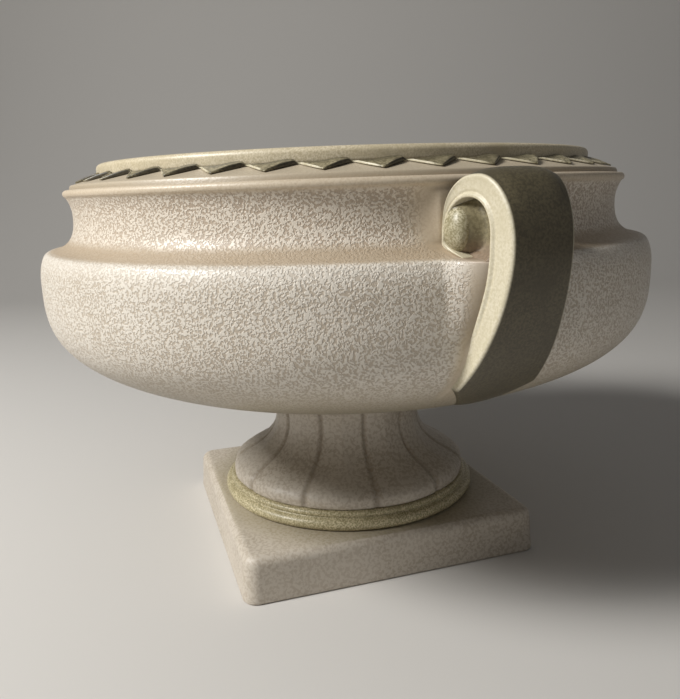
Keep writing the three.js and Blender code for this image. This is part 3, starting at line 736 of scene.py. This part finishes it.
def strap_outlines():
    """Outer and inner outline of the strap, step by step from its foot to its tail's end."""
    outer_low = strap_outer_low(LOW_STEPS)
    z = outer_low[:, 1]
    sunk = belly_radius(z - BELLY_Z) - 2.2
    blend = smoothstep(WEDGE_Z - 6, WEDGE_Z + 4, z)
    inner_low = np.stack([sunk * (1 - blend) + (wedge_x(z) - 0.3) * blend, z], 1)
    inner_low[:, 1] += (EYE_Z - CURL_Z) * smoothstep(RIDGE_Z - 10, CURL_Z, z)
    settle = smoothstep(RIDGE_Z - 2, CURL_Z, z)
    inner_low[:, 0] = inner_low[:, 0] * (1 - settle) + (EYE_X + EYE_HALF_WIDTH) * settle
    swing = np.linspace(0, math.pi / 2, CURL_STEPS)[1:]
    right = [CURL_X + CURL_RADIUS * np.cos(swing), CURL_Z + CURL_HEIGHT * np.sin(swing)]
    outer_curl = np.vstack([np.stack(right, 1), curl_left(LEFT_STEPS)[1:]])
    round_eye = np.concatenate([swing, np.radians(np.linspace(90, 188, LEFT_STEPS))[1:]])
    power = 2 / EYE_SQUARENESS
    c, s = np.cos(round_eye), np.sin(round_eye)
    inner_curl = np.stack([
        EYE_X + EYE_HALF_WIDTH * np.sign(c) * np.abs(c) ** power,
        EYE_Z + EYE_HALF_HEIGHT * np.sign(s) * np.abs(s) ** power,
    ], 1)
    # the tail: under the ball the curl's edge thins and runs out along the ridge
    end_x = EYE_X - 1.5
    outer_tail = bezier([
        outer_curl[-1], (WALL_X + 0.3, RIDGE_Z + 2.7), (WALL_X + 3.6, RIDGE_Z + 1.3),
        (end_x, RIDGE_Z - 0.5),
    ], TAIL_STEPS)[1:]
    inner_tail = bezier([
        inner_curl[-1], (WALL_X + 2.1, RIDGE_Z + 3.6), (WALL_X + 5.5, RIDGE_Z + 2.0),
        (end_x, RIDGE_Z + 0.5),
    ], TAIL_STEPS)[1:]
    return np.vstack([outer_low, outer_curl, outer_tail]), np.vstack([
        inner_low, inner_curl, inner_tail,
    ])


def strap(name, turn):
    """The scroll strap: a section carried from the belly up and over the eye.

    At each step the section runs from the inner edge to the outer outline. Its sides are dished,
    with a rolled outer corner and a fine bead along the inner edge.
    """
    outer, inner = strap_outlines()
    thick = np.hypot(*(outer - inner).T)[:, None]
    crest_step = LOW_STEPS + CURL_STEPS
    leftward = smoothstep(crest_step, crest_step + 25, np.arange(len(outer)))[:, None]
    full = smoothstep(3, 6, thick)
    share = (0.5 - 0.5 * np.cos(np.linspace(0, math.pi, SIDE_POINTS)))[None, :]
    from_out, from_in = (1 - share) * thick, share * thick
    x = inner[:, :1] * (1 - share) + outer[:, :1] * share
    z = inner[:, 1:] * (1 - share) + outer[:, 1:] * share
    corner = np.minimum(HANDLE_EDGE, thick * 0.4)
    wide = np.minimum(half_width(x, z) + 0.7 * share * full, tongue_width(z))
    rolled = np.clip(corner**2 - np.clip(corner - from_out, 0, None) ** 2, 0, None)
    wide -= corner - np.sqrt(rolled)
    bead = np.minimum(RIM_BEAD, thick * 0.45)
    shown = smoothstep(WEDGE_Z - 4, WEDGE_Z + 14, outer[:, 1:])
    across_bead = np.clip(np.abs(from_in - bead / 2) / (bead / 2), 0, 1)
    wide += shown * (0.4 * np.sqrt(1 - across_bead**2) - 0.15)
    wide += leftward * 0.3 * np.exp(-(((from_out - 0.9) / 0.6) ** 2))
    wide -= 0.3 * np.exp(-(((from_in - bead - 0.5) / 0.5) ** 2)) * full * shown
    wide -= 0.3 * np.sin(math.pi * share) * full
    wide = np.maximum(wide, 0.3)
    near_side = np.stack([x, wide, z], 2)
    far_side = near_side[:, ::-1] * np.array([1, -1, 1])
    t = np.linspace(1, -1, FACE_POINTS + 2)[1:-1][None, :]
    along = np.gradient(outer, axis=0)
    normal = np.stack([along[:, 1], -along[:, 0]], 1) / np.linalg.norm(along, axis=1)[:, None]
    crest = smoothstep(0.35, 1.0, (outer[:, 1:] - CURL_Z) / CURL_HEIGHT)
    crest *= smoothstep(140, 150, outer[:, :1])
    crown = STRAP_CROWN * crest * (1 - t**4) + 0.3 * full * (1 - t**2)
    edge = near_side[:, -1]
    outer_face = np.stack([
        edge[:, :1] + normal[:, :1] * crown, edge[:, 1:2] * t, edge[:, 2:] + normal[:, 1:] * crown,
    ], 2)
    t = np.linspace(-1, 1, BACK_POINTS + 2)[1:-1][None, :]
    edge = near_side[:, 0]
    inner_face = np.stack([edge[:, :1] + 0 * t, edge[:, 1:2] * t, edge[:, 2:] + 0 * t], 2)
    grid = np.concatenate([near_side, outer_face, far_side, inner_face], 1)
    piece = skin(name, turned(grid[:, ::-1], turn))
    # the dark outer glaze covers the outer face, both its corners and the tongue, darker than the
    # glaze alone as painted shade of the faces turned from the light
    corner_points = 3
    outward = np.zeros(grid.shape[1])
    outward[SIDE_POINTS - corner_points:SIDE_POINTS + FACE_POINTS + corner_points] = 1
    outward = np.convolve(outward, np.ones(3) / 3, "same")[None, :] * (thick > 2.5)
    knee = BOWL_BASE + STRAP_FOOT_RISE + TONGUE_HEIGHT
    outward = np.maximum(outward, 1 - smoothstep(knee - 1.0, knee + 1.5, grid[..., 2]))
    paint(piece, "outward", outward[:, ::-1])
    return piece


def web(name, turn):
    """The clay that closes the eye: an oval plate, hollowed a little, that runs under the rim."""
    spin = full_turn(OVAL_COLUMNS)
    grow = np.concatenate([[0.02], np.linspace(0.08, 1.1, 24)])
    half = WEB_THICKNESS / 2
    rows = []
    for side in (-1, 1):
        for share in grow if side < 0 else grow[::-1]:
            x = EYE_X + EYE_HALF_WIDTH * share * np.cos(spin)
            z = EYE_Z + EYE_HALF_HEIGHT * share * np.sin(spin)
            ball = np.hypot(
                (x - THROAT_RADIUS - BOSS_OUT) / BOSS_WIDTH,
                (z - RIDGE_Z - BOSS_RISE) / BOSS_HEIGHT,
            )
            away = np.clip(ball - BOSS_FILLET_START, 0, None) * BOSS_WIDTH
            rise = WEB_FOOT * (1 - smoothstep(RIDGE_Z - 0.5, RIDGE_Z + 6, z)) ** 2
            fillet = BOSS_FILLET * np.exp(-((away / BOSS_FILLET_FADE) ** 2))
            y = side * (half - WEB_DISH + WEB_LIP * share**3 + np.maximum(rise, fillet))
            rows.append(np.stack([x, y, z], 1))
    grid = np.stack(rows)
    foot = 1 - smoothstep(RIDGE_Z + 1, RIDGE_Z + 8, grid[..., 2])
    piece = skin(name, turned(grid, turn))
    paint(piece, "foot", foot)
    return piece


def boss(name, turn, aside):
    """A flattened ball pressed into the eye: a sphere scaled to its width, depth and height."""
    tilt = np.radians(np.linspace(-88, 88, 60))[:, None]
    spin = full_turn(OVAL_COLUMNS)[None, :]
    unit = np.stack([
        np.cos(tilt) * np.cos(spin), np.cos(tilt) * np.sin(spin), np.sin(tilt) + 0 * spin,
    ], 2)
    middle = np.array([THROAT_RADIUS + BOSS_OUT, aside * BOSS_ASIDE, RIDGE_Z + BOSS_RISE])
    half = np.array([BOSS_WIDTH, BOSS_DEPTH, BOSS_HEIGHT]) / 2
    grid = unit * half
    lump = ripple(grid[..., 0], grid[..., 1], grid[..., 2], BOSS_LUMP_STEP, BOSS_LUMP_SEED)
    return skin(name, turned(middle + grid * (1 + BOSS_LUMP * lump)[..., None], turn))


# ---------- materials ----------

CREAM = 0xE0D8CB
PALE_CREAM = 0xE8E1D6
WORM_SCALE = 1110.0            # per metre
# glaze tones on the bowl, with painted highlight and painted shade among them: attribute, strength
# and colour, one laid over the other
BOWL_TONES_AND_PAINTED_LIGHT = (
    ("crest", 0.35, PALE_CREAM), ("cove", 0.75, 0xA9967D), ("shoulder", 0.6, 0xB0A48E),
    ("foot", 0.85, 0x756D5A), ("drawn", 0.75, 0x8F8170), ("flash", 0.6, 0xDACABC),
    ("eye", 1.0, 0x86735F), ("seam", 0.5, 0x94846C),
)
GLAZE_IOR = 1.52
COAT_IOR = 1.5
COAT_ROUGHNESS = 0.34
NOISE_ROUGHNESS = 0.55


def linear(hex_colour):
    """An sRGB hex colour as the linear RGBA that a shader socket takes."""
    parts = [((hex_colour >> shift) & 255) / 255 for shift in (16, 8, 0)]
    return [c / 12.92 if c <= 0.04045 else ((c + 0.055) / 1.055) ** 2.4 for c in parts] + [1.0]


def add(tree, kind, values=None, links=None, **settings):
    """Adds a node with its settings, the values of its inputs and the links into them."""
    node = tree.nodes.new(kind)
    for key, value in settings.items():
        setattr(node, key, value)
    for key, value in (values or {}).items():
        node.inputs[key].default_value = value
    for key, source in (links or {}).items():
        tree.links.new(source, node.inputs[key])
    return node


def start_material(name):
    """An empty material with its node tree and its output."""
    material = bpy.data.materials.new(name)
    material.use_nodes = True
    tree = material.node_tree
    tree.nodes.clear()
    output = add(tree, "ShaderNodeOutputMaterial")
    return material, tree, output


def finish_material(tree, output, colour, roughness, bump, coat):
    """A glaze: its body colour and relief under a clear coat, stronger where it is glossy."""
    shader = add(
        tree, "ShaderNodeBsdfPrincipled",
        {
            "IOR": GLAZE_IOR, "Coat Weight": coat, "Coat Roughness": COAT_ROUGHNESS,
            "Coat IOR": COAT_IOR,
        },
        {"Base Color": colour, "Roughness": roughness, "Normal": bump},
    )
    tree.links.new(shader.outputs["BSDF"], output.inputs["Surface"])


def ramp(tree, source, low, high):
    """Maps a value between low and high to 0 and 1, eased."""
    return add(
        tree, "ShaderNodeMapRange", {"From Min": low, "From Max": high}, {"Value": source},
        interpolation_type="SMOOTHSTEP",
    ).outputs["Result"]


def mix(tree, share, first, second):
    """A colour between two; each is a hex colour or the output of a node."""
    node = add(tree, "ShaderNodeMix", data_type="RGBA")
    for socket, value in ((6, first), (7, second)):
        if isinstance(value, int):
            node.inputs[socket].default_value = linear(value)
        else:
            tree.links.new(value, node.inputs[socket])
    if isinstance(share, float):
        node.inputs[0].default_value = share
    else:
        tree.links.new(share, node.inputs[0])
    return node.outputs[2]


def maths(tree, operation, first, second):
    """A sum on two values; each is a number or the output of a node."""
    node = add(tree, "ShaderNodeMath", operation=operation)
    for socket, value in ((0, first), (1, second)):
        if isinstance(value, (int, float)):
            node.inputs[socket].default_value = value
        else:
            tree.links.new(value, node.inputs[socket])
    return node.outputs[0]


def attribute(tree, name):
    return add(tree, "ShaderNodeAttribute", attribute_name=name).outputs["Fac"]


def faded(tree, name, strength):
    return maths(tree, "MULTIPLY", attribute(tree, name), strength)


def relief(tree, height, strength, depth):
    """A normal tilted by a height of the given depth in metres."""
    return add(
        tree, "ShaderNodeBump", {"Strength": strength, "Distance": depth}, {"Height": height},
    ).outputs["Normal"]


def spread(tree, source, at_zero, at_one):
    """Maps 0 and 1 to the two values given."""
    return add(
        tree, "ShaderNodeMapRange", {"To Min": at_zero, "To Max": at_one}, {"Value": source},
    ).outputs["Result"]


def noise(tree, place, scale, detail=0.0, distortion=0.0):
    """A noise whose cells are 1 / scale metres wide."""
    return add(
        tree, "ShaderNodeTexNoise",
        {
            "Scale": scale, "Detail": detail, "Roughness": NOISE_ROUGHNESS,
            "Distortion": distortion,
        },
        {"Vector": place},
    ).outputs["Fac"]


def crawled_glaze():
    """Pale cream glaze that crawled in firing: short tan worms and dots show between it.

    The worms follow a noise with cells of 0.9 mm.
    """
    material, tree, output = start_material("crawled_cream_glaze")
    place = add(tree, "ShaderNodeTexCoord").outputs["Object"]
    calm = attribute(tree, "calm")
    worms = noise(tree, place, WORM_SCALE, 0.0, 0.6)
    clouds = noise(tree, place, 30.0, 3.0)
    grain = noise(tree, place, 1900.0, 2.0)
    uneven = maths(tree, "MULTIPLY", maths(tree, "SUBTRACT", clouds, 0.5), 0.12)
    field = maths(tree, "ADD", worms, uneven)
    # more darker worms under the lip bead, partly painted shade
    field = maths(tree, "SUBTRACT", field, faded(tree, "under", 0.045))
    ridge = ramp(tree, field, 0.36, 0.58)
    bare = mix(tree, clouds, 0xB9AB99, 0xC6BAA9)
    body = mix(tree, ridge, bare, mix(tree, clouds, CREAM, PALE_CREAM))
    body = mix(tree, maths(tree, "MULTIPLY", grain, 0.16), body, 0xC9BDAB)
    body = mix(tree, attribute(tree, "neck"), body, mix(tree, ridge, 0xB4A28E, 0xE2D7C7))
    smooth = mix(tree, clouds, 0xC3B197, 0xD2C3AB)
    colour = mix(tree, maths(tree, "MULTIPLY", calm, 0.88), body, smooth)
    # lays the bowl's glaze tones over the body, painted highlight and painted shade among them
    for name, strength, tone in BOWL_TONES_AND_PAINTED_LIGHT:
        colour = mix(tree, faded(tree, name, strength), colour, tone)
    raised = maths(tree, "MULTIPLY", ridge, maths(tree, "SUBTRACT", 1.0, calm))
    height = maths(tree, "ADD", raised, maths(tree, "MULTIPLY", grain, 0.15))
    bump = relief(tree, height, 0.7, 0.00028)
    finish_material(tree, output, colour, spread(tree, ridge, 0.55, 0.4), bump, 0.18)
    return material


def olive_glaze(name, thin, thick, cell=1.1, contrast=1.0, second=None, shades=None, painted_shadow=None):
    """Olive glaze over cream slip, thinner and paler on a raised grain.

    The grain's cell is given in millimetres. A second pair of shades follows an attribute, and a
    dark painted shadow follows an attribute of its own.
    """
    material, tree, output = start_material(name)
    place = add(tree, "ShaderNodeTexCoord").outputs["Object"]
    grain = noise(tree, place, 1000.0 / cell, 2.0, 0.3)
    clouds = noise(tree, place, 60.0, 3.0)
    reach = 0.16 / contrast
    share = ramp(tree, grain, 0.5 - reach, 0.5 + reach)
    share = maths(tree, "MULTIPLY", share, ramp(tree, clouds, 0.15, 0.6))
    colour = mix(tree, share, thick, thin)
    if second:
        colour = mix(tree, attribute(tree, second), colour, mix(tree, share, shades[0], shades[1]))
    if painted_shadow:
        colour = mix(tree, faded(tree, "painted_shadow", 0.85), colour, painted_shadow)
    bump = relief(tree, grain, 0.35, 0.00015)
    finish_material(tree, output, colour, spread(tree, grain, 0.5, 0.38), bump, 0.2)
    return material


def stand_glaze(name, tint, shade):
    """Thin dull glaze over a beige body, finely crackled in cells of about 1.6 mm.

    Olive and brown glaze has run into the places that the attribute tint marks; on the plinth near
    the ring this olive is also painted shade.
    """
    material, tree, output = start_material(name)
    place = add(tree, "ShaderNodeTexCoord").outputs["Object"]
    speckle = noise(tree, place, 620.0, 1.0, 0.5)
    clouds = noise(tree, place, 34.0, 3.0)
    colour = mix(tree, ramp(tree, clouds, 0.3, 0.7), 0xACA08F, 0xBDB2A3)
    fleck = maths(tree, "MULTIPLY", ramp(tree, speckle, 0.4, 0.56), 0.55)
    colour = mix(tree, fleck, colour, 0xD2CABD)
    colour = mix(tree, faded(tree, tint, 0.5), colour, shade)
    bump = relief(tree, speckle, 0.35, 0.0002)
    finish_material(tree, output, colour, spread(tree, speckle, 0.6, 0.46), bump, 0.08)
    return material


# ---------- assembly ----------


def place_piece(piece, body, material, nodes):
    piece.data.materials.append(material)
    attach(piece, body)
    if nodes:
        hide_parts(*nodes)


def build():
    cream = crawled_glaze()
    band_olive = olive_glaze("olive_band_glaze", 0xDED2B8, 0xBFB293, 0.7)
    # teeth: pale left edges, partly a painted highlight, and a dark painted shadow on the right
    tooth_olive = olive_glaze(
        "olive_tooth_glaze", 0xA59B7D, 0x655D45, 0.9, 1.6, "rim", (0xC4BB9E, 0xDCD3BC), 0x332D22,
    )
    # the strap's sides stay cream and its outer face takes the dark pair, deepened as painted shade
    strap_olive = olive_glaze(
        "olive_strap_glaze", 0xD6CEB8, 0xC6BDA2, 0.9, second="outward", shades=(0x4B4433, 0x615943),
    )
    ball_olive = olive_glaze("olive_ball_glaze", 0xCFC7AC, 0x8A8263, 0.7, 1.6)
    web_olive = olive_glaze(
        "olive_web_glaze", 0x8C8366, 0x6F664C, second="foot", shades=(0x80705F, 0x94816E),
    )
    ring_olive = olive_glaze("olive_ring_glaze", 0xD2C7A4, 0x958A66, 0.8, 1.5)
    plain = stand_glaze("dull_beige_glaze", "run", 0x8F8464)
    fluted = stand_glaze("dull_beige_fluted_glaze", "groove", 0x857662)
    place_piece(plinth(), "stand", plain, ["plinth"])
    place_piece(foot_ring(), "stand", ring_olive, ["foot_ring"])
    place_piece(stem(), "stand", fluted, ["stem"])
    place_piece(bowl(), "planter", cream, ["bowl"])
    place_piece(rim_band(), "planter", band_olive, ["rim_band"])
    place_piece(tooth_course(), "planter", tooth_olive, ["tooth_band"])
    for side, turn in (("right", BOWL_TURN), ("left", BOWL_TURN + math.pi)):
        scroll = strap(f"strap_{side}", turn)
        place_piece(scroll, "planter", strap_olive, [f"handle_{side}"])
        place_piece(web(f"eye_web_{side}", turn), "planter", web_olive, [])
        for end, aside in (("front", -1), ("rear", 1)):
            across = aside if side == "right" else -aside
            ball = boss(f"ball_{side}_{end}", turn, across)
            place_piece(ball, "planter", ball_olive, [f"boss_{side}_{end}"])


# ---------- floor, light and camera ----------

CAMERA_FROM = Vector((0.35663, -0.11884, 0.18383))
CAMERA_TURN = math.radians(71.57)       # the photograph's own frame against the plinth's sides
CAMERA_YAW = -0.0277
CAMERA_PITCH = -0.2239
CAMERA_ROLL = -0.0328
FOCAL_PIXELS = 689.8
PICTURE_HEIGHT = 699
AXIS_LEFT_PIXELS = 14                   # optical axis left of the picture's middle
SENSOR_WIDTH = 36                       # millimetres

SHEET_NEAR = 2600                       # the sheet reaches this far before the part,
SHEET_FAR = 900                         # lies flat this far behind it,
SHEET_SWEEP = 700                       # sweeps up in a quarter circle of this radius,
SHEET_TOP = 2600                        # and stands this high
SHEET_SIDE = 2600.0

# each lamp: name, place, aim, side of its square, power and colour
LAMPS = (
    ("window", (0.12, -1.06, 0.98), (0, 0, 0.1), 0.38, 22, 0xFFFEFB),
    ("bounce", (0.9, 0.7, 0.7), (0, 0, 0.12), 1.2, 0.3, 0xF6F6FF),
)
WORLD_COLOUR = 0xEEEDEB
WORLD_STRENGTH = 0.12


def floor():
    """A pale sheet that runs back and sweeps up behind the part."""
    back = SHEET_FAR + SHEET_SWEEP
    profile = np.vstack([
        line((-SHEET_NEAR, 0), (SHEET_FAR, 0), 8),
        arc(SHEET_FAR, SHEET_SWEEP, SHEET_SWEEP, -90, 0, 16)[1:],
        line((back, SHEET_SWEEP), (back, SHEET_TOP), 4)[1:],
    ])
    forward = np.array([-math.sin(CAMERA_TURN), math.cos(CAMERA_TURN)])
    side = np.array([forward[1], -forward[0]])
    points = np.array([
        [*(forward * depth + side * across), height]
        for depth, height in profile for across in (-SHEET_SIDE, SHEET_SIDE)
    ])
    faces = [(2 * i, 2 * i + 1, 2 * i + 3, 2 * i + 2) for i in range(len(profile) - 1)]
    mesh = bpy.data.meshes.new("floor_sheet")
    mesh.from_pydata((points * MM).tolist(), [], faces)
    mesh.shade_smooth()
    sheet = bpy.data.objects.new("floor_sheet", mesh)
    bpy.context.scene.collection.objects.link(sheet)
    material, tree, output = start_material("matt_paper")
    paper = {"Base Color": linear(0xD0CDC9), "Roughness": 0.75}
    shader = add(tree, "ShaderNodeBsdfPrincipled", paper)
    tree.links.new(shader.outputs["BSDF"], output.inputs["Surface"])
    mesh.materials.append(material)


def lamp(name, at, aim, size, power, colour):
    data = bpy.data.lights.new(name, "AREA")
    data.shape = "RECTANGLE"
    data.size = data.size_y = size
    data.energy = power
    data.color = linear(colour)[:3]
    lamp_object = bpy.data.objects.new(name, data)
    bpy.context.scene.collection.objects.link(lamp_object)
    lamp_object.location = at
    lamp_object.rotation_euler = (Vector(aim) - Vector(at)).to_track_quat("-Z", "Y").to_euler()


def light():
    for settings in LAMPS:
        lamp(*settings)
    world = bpy.data.worlds.new("studio")
    bpy.context.scene.world = world
    world.use_nodes = True
    background = world.node_tree.nodes["Background"]
    background.inputs["Color"].default_value = linear(WORLD_COLOUR)
    background.inputs["Strength"].default_value = WORLD_STRENGTH


def camera():
    """The camera of the photograph: place, yaw, pitch and roll as found from the part's outline."""
    yaw, pitch, roll = CAMERA_YAW, CAMERA_PITCH, CAMERA_ROLL
    forward = Vector((
        math.sin(yaw) * math.cos(pitch), math.cos(yaw) * math.cos(pitch), math.sin(pitch),
    ))
    right = Vector((math.cos(yaw), -math.sin(yaw), 0))
    up = right.cross(forward)
    rolled_right = right * math.cos(roll) + up * math.sin(roll)
    rolled_up = up * math.cos(roll) - right * math.sin(roll)
    turn = Matrix.Rotation(CAMERA_TURN, 3, "Z")
    basis = Matrix((turn @ rolled_right, turn @ rolled_up, turn @ -forward)).transposed()
    data = bpy.data.cameras.new("camera")
    data.sensor_width = SENSOR_WIDTH
    data.lens = FOCAL_PIXELS * SENSOR_WIDTH / PICTURE_HEIGHT
    data.shift_x = AXIS_LEFT_PIXELS / PICTURE_HEIGHT
    data.clip_start = 0.01
    view = bpy.data.objects.new("camera", data)
    view.matrix_world = Matrix.Translation(CAMERA_FROM) @ basis.to_4x4()
    bpy.context.scene.collection.objects.link(view)
    bpy.context.scene.camera = view


camera()
build()
floor()
light()
bpy.context.scene.view_settings.view_transform = "Standard"

bpy.context.view_layer.update()
